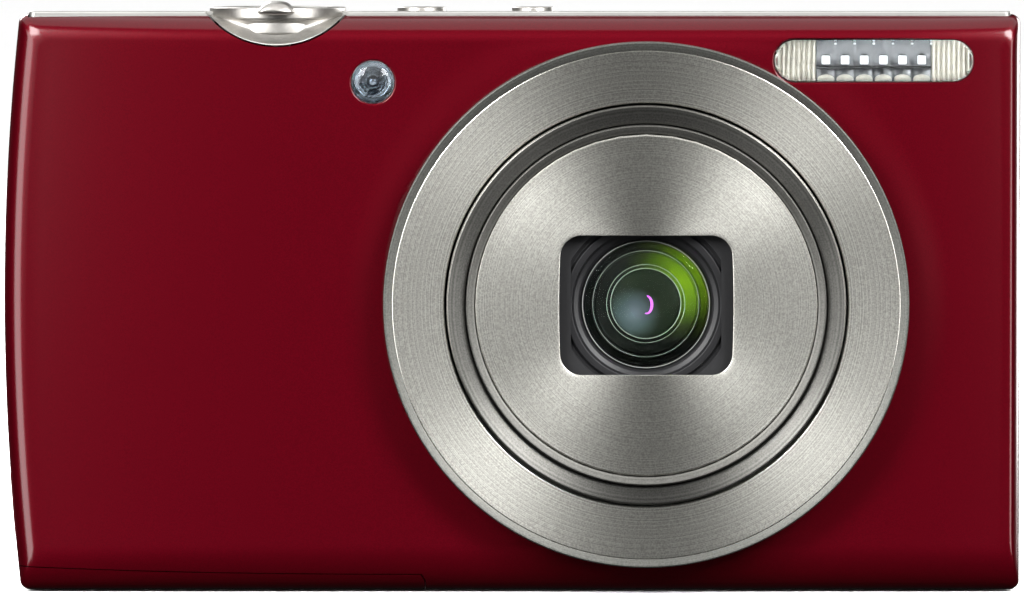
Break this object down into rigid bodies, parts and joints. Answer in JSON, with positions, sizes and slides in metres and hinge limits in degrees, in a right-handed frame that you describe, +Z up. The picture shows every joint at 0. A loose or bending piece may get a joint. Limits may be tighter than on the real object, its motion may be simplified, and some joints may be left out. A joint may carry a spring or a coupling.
{
  "type": "compact digital camera",
  "caption": "Slim pocket camera with a retracting zoom lens, a built-in flash, a rear screen with button pad, and a hinged battery door in its base.",
  "frame": {"origin": "middle of the footprint's bounding rectangle, at the height of the base that the camera stands on", "axes": "+X to the right seen from the front, +Y from the front to the back, +Z up"},
  "size_m": [0.0952, 0.022, 0.0553],
  "materials": {
    "red_paint": "glossy red paint with a clear coat",
    "satin_silver": "satin, finely turned or brushed",
    "black_plastic": "fine matt texture",
    "clear_plastic": "moulded clear",
    "glass": "polished and coated",
    "steel": "plated",
    "circuit": "green board",
    "grey_plastic": "moulded grey"
  },
  "bodies": {
    "case": {"front_cover": "red_paint", "rear_cover": "red_paint", "top_cover": "satin_silver", "shutter_trim": "satin_silver", "lens_ring": "satin_silver", "lens_housing": "black_plastic", "battery_box": "black_plastic", "memory_card": "black_plastic", "speaker": "black_plastic", "flash_capacitor": "black_plastic", "screen_window": "glass", "flash_window": "clear_plastic", "flash_tube": "clear_plastic", "af_lamp_lens": "clear_plastic", "af_lamp_led": "clear_plastic", "zoom_motor": "steel", "flash_reflector": "steel", "screen_panel": "steel", "chassis": "steel", "door_pin": "steel", "tripod_bush": "steel", "data_socket": "steel", "strap_bar": "steel", "bottom_screw_left": "steel", "bottom_screw_right": "steel", "side_screw_lower": "steel", "side_screw_upper": "steel", "image_sensor": "circuit", "key_board": "circuit", "main_board": "circuit", "battery": "grey_plastic"},
    "cam_ring": {"cam_ring": "black_plastic"},
    "outer_barrel": {"outer_barrel": "satin_silver"},
    "inner_barrel": {"inner_barrel": "satin_silver", "front_plate": "satin_silver", "lens_bezel": "black_plastic", "front_lens": "glass"},
    "drive_gear": {"drive_gear": "grey_plastic"},
    "focus_group": {"focus_group": "black_plastic"},
    "barrier_upper_leading": {"barrier_upper_leading": "black_plastic"},
    "barrier_upper_trailing": {"barrier_upper_trailing": "black_plastic"},
    "barrier_lower_leading": {"barrier_lower_leading": "black_plastic"},
    "barrier_lower_trailing": {"barrier_lower_trailing": "black_plastic"},
    "shutter_button": {"shutter_button": "satin_silver"},
    "zoom_lever": {"zoom_lever": "satin_silver"},
    "power_button": {"power_button": "satin_silver"},
    "auto_zoom_button": {"auto_zoom_button": "satin_silver"},
    "movie_button": {"movie_button": "satin_silver"},
    "playback_button": {"playback_button": "satin_silver"},
    "menu_button": {"menu_button": "satin_silver"},
    "help_button": {"help_button": "satin_silver"},
    "set_button": {"set_button": "satin_silver"},
    "pad_pivot": {"pad_pivot": "black_plastic"},
    "four_way_pad": {"four_way_pad": "satin_silver"},
    "door_bracket": {"door_bracket": "red_paint"},
    "battery_door": {"battery_door": "red_paint"},
    "terminal_cover": {"terminal_cover": "red_paint"},
    "supply_cover": {"supply_cover": "red_paint"},
    "battery_latch": {"battery_latch": "grey_plastic"}
  },
  "joints": [
    {"name": "cam_ring_turn", "type": "hinge", "parent": "case", "child": "cam_ring", "pos_m": [0.0125, 0, 0.027], "axis": [0, 1, 0], "range_deg": [0, 100]},
    {"name": "outer_barrel_slide", "type": "slide", "parent": "case", "child": "outer_barrel", "axis": [0, -1, 0], "range_m": [0, 0.01]},
    {"name": "inner_barrel_slide", "type": "slide", "parent": "outer_barrel", "child": "inner_barrel", "axis": [0, -1, 0], "range_m": [0, 0.01]},
    {"name": "drive_gear_spin", "type": "hinge", "parent": "case", "child": "drive_gear", "pos_m": [0.02936, 0, 0.00827], "axis": [0, 1, 0], "range_deg": [-426, 0]},
    {"name": "focus_slide", "type": "slide", "parent": "case", "child": "focus_group", "axis": [0, -1, 0], "range_m": [0, 0.003]},
    {"name": "barrier_upper_leading_slide", "type": "slide", "parent": "inner_barrel", "child": "barrier_upper_leading", "axis": [0, 0, -1], "range_m": [0, 0.00665]},
    {"name": "barrier_upper_trailing_slide", "type": "slide", "parent": "inner_barrel", "child": "barrier_upper_trailing", "axis": [0, 0, -1], "range_m": [0, 0.00333]},
    {"name": "barrier_lower_leading_slide", "type": "slide", "parent": "inner_barrel", "child": "barrier_lower_leading", "axis": [0, 0, 1], "range_m": [0, 0.00665]},
    {"name": "barrier_lower_trailing_slide", "type": "slide", "parent": "inner_barrel", "child": "barrier_lower_trailing", "axis": [0, 0, 1], "range_m": [0, 0.00333]},
    {"name": "shutter_button_press", "type": "slide", "parent": "case", "child": "shutter_button", "axis": [0, 0, -1], "range_m": [0, 0.001], "stiffness_N_per_m": 500},
    {"name": "zoom_lever_turn", "type": "hinge", "parent": "case", "child": "zoom_lever", "pos_m": [-0.022, -0.0009, 0.054], "axis": [0, 0, 1], "range_deg": [-15, 15], "stiffness_Nm_per_rad": 0.01},
    {"name": "power_button_press", "type": "slide", "parent": "case", "child": "power_button", "axis": [0, 0, -1], "range_m": [0, 0.0004], "stiffness_N_per_m": 500},
    {"name": "auto_zoom_button_press", "type": "slide", "parent": "case", "child": "auto_zoom_button", "axis": [0, 0, -1], "range_m": [0, 0.0004], "stiffness_N_per_m": 500},
    {"name": "movie_button_press", "type": "slide", "parent": "case", "child": "movie_button", "axis": [0, -1, 0], "range_m": [0, 0.0004], "stiffness_N_per_m": 500},
    {"name": "playback_button_press", "type": "slide", "parent": "case", "child": "playback_button", "axis": [0, -1, 0], "range_m": [0, 0.0004], "stiffness_N_per_m": 500},
    {"name": "menu_button_press", "type": "slide", "parent": "case", "child": "menu_button", "axis": [0, -1, 0], "range_m": [0, 0.0004], "stiffness_N_per_m": 500},
    {"name": "help_button_press", "type": "slide", "parent": "case", "child": "help_button", "axis": [0, -1, 0], "range_m": [0, 0.0004], "stiffness_N_per_m": 500},
    {"name": "set_button_press", "type": "slide", "parent": "case", "child": "set_button", "axis": [0, -1, 0], "range_m": [0, 0.0004], "stiffness_N_per_m": 500},
    {"name": "pad_tilt_up_down", "type": "hinge", "parent": "case", "child": "pad_pivot", "pos_m": [-0.031, 0.0088, 0.0245], "axis": [1, 0, 0], "range_deg": [-1.2, 1.2], "stiffness_Nm_per_rad": 0.02},
    {"name": "pad_tilt_left_right", "type": "hinge", "parent": "pad_pivot", "child": "four_way_pad", "pos_m": [-0.031, 0.0088, 0.0245], "axis": [0, 0, 1], "range_deg": [-1.2, 1.2], "stiffness_Nm_per_rad": 0.02},
    {"name": "door_hinge", "type": "hinge", "parent": "case", "child": "door_bracket", "pos_m": [-0.027, 0.0084, 0.0008], "axis": [1, 0, 0], "range_deg": [0, 90]},
    {"name": "door_slide", "type": "slide", "parent": "door_bracket", "child": "battery_door", "axis": [-1, 0, 0], "range_m": [0, 0.0018]},
    {"name": "terminal_cover_hinge", "type": "hinge", "parent": "case", "child": "terminal_cover", "pos_m": [-0.0469, 0.0079, 0.027], "axis": [0, 0, 1], "range_deg": [-90, 0]},
    {"name": "supply_cover_hinge", "type": "hinge", "parent": "case", "child": "supply_cover", "pos_m": [-0.0462, -0.0012, 0.008], "axis": [0, 0, 1], "range_deg": [-90, 0]},
    {"name": "battery_latch_slide", "type": "slide", "parent": "case", "child": "battery_latch", "axis": [0, 1, 0], "range_m": [0, 0.001], "stiffness_N_per_m": 500}
  ],
  "couplings": [
    {"joint": "outer_barrel_slide", "follows": "cam_ring_turn", "m_per_rad": 0.005725},
    {"joint": "inner_barrel_slide", "follows": "cam_ring_turn", "m_per_rad": 0.005725},
    {"joint": "drive_gear_spin", "follows": "cam_ring_turn", "ratio": -4.25},
    {"joint": "barrier_upper_trailing_slide", "follows": "barrier_upper_leading_slide", "ratio": 0.5},
    {"joint": "barrier_lower_leading_slide", "follows": "barrier_upper_leading_slide", "ratio": 1},
    {"joint": "barrier_lower_trailing_slide", "follows": "barrier_upper_leading_slide", "ratio": 0.5}
  ]
}
